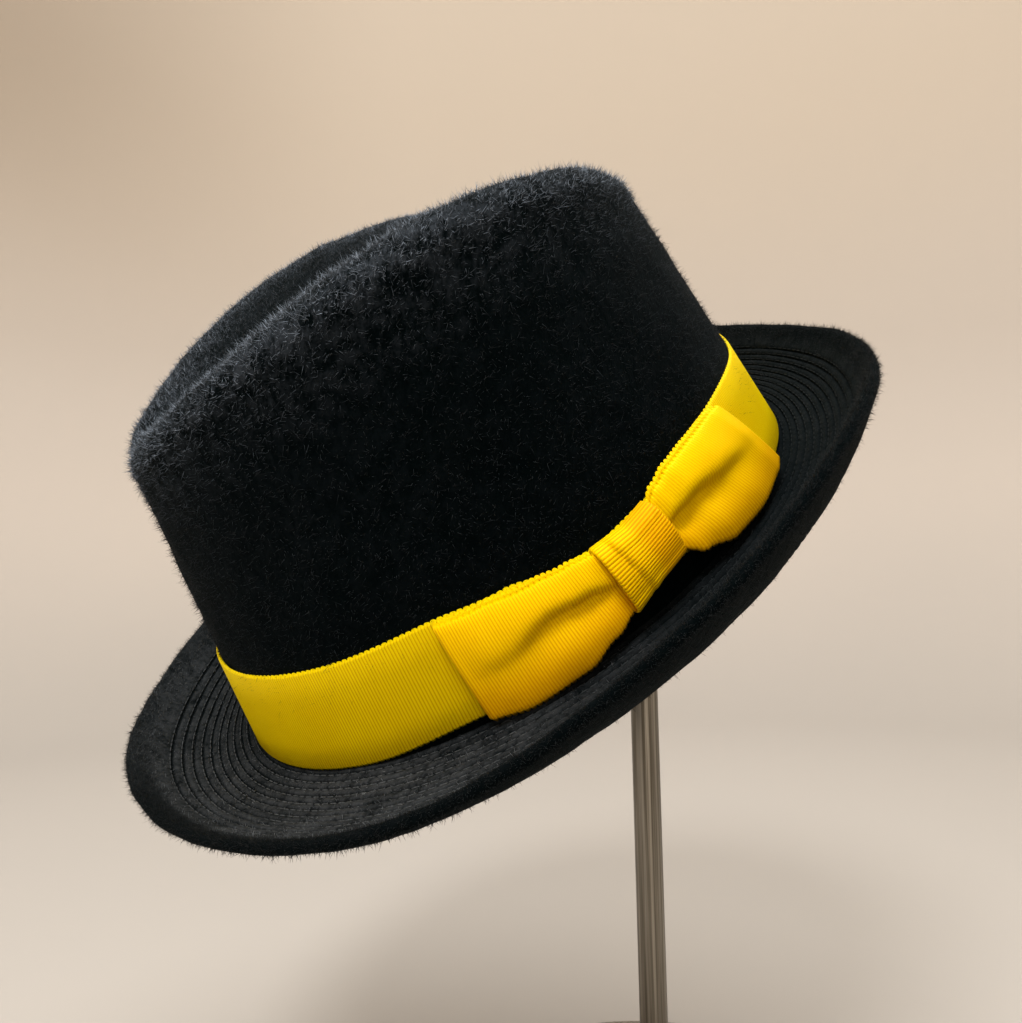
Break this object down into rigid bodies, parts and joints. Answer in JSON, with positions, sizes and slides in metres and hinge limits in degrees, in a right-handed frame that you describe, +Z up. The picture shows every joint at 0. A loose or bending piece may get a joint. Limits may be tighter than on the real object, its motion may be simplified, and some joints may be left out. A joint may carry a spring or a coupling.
{
  "type": "wool hat on display stand",
  "caption": "Brushed wool hat with a lengthwise crown crease, stitched rolled brim, ribbon band and flat bow, held tilted on a plain post stand.",
  "frame": {"origin": "middle of the underside of the stand's round foot", "axes": "+Z up along the post, +X toward the hat's raised end, +Y away from the bow"},
  "size_m": [0.2501, 0.2437, 0.3321],
  "materials": {
    "wool": "brushed wool felt, deep blue black, short raised nap",
    "ribbon": "yellow grosgrain ribbon with fine cross ribs and a scalloped selvedge",
    "stand_metal": "satin metal tube"
  },
  "bodies": {
    "root": {"crown": "wool", "brim": "wool", "hat_ribbon": "ribbon", "bow_loop_low": "ribbon", "bow_loop_high": "ribbon", "bow_knot": "ribbon", "stand_rest": "stand_metal", "stand_post": "stand_metal", "stand_foot": "stand_metal"}
  },
  "joints": []
}
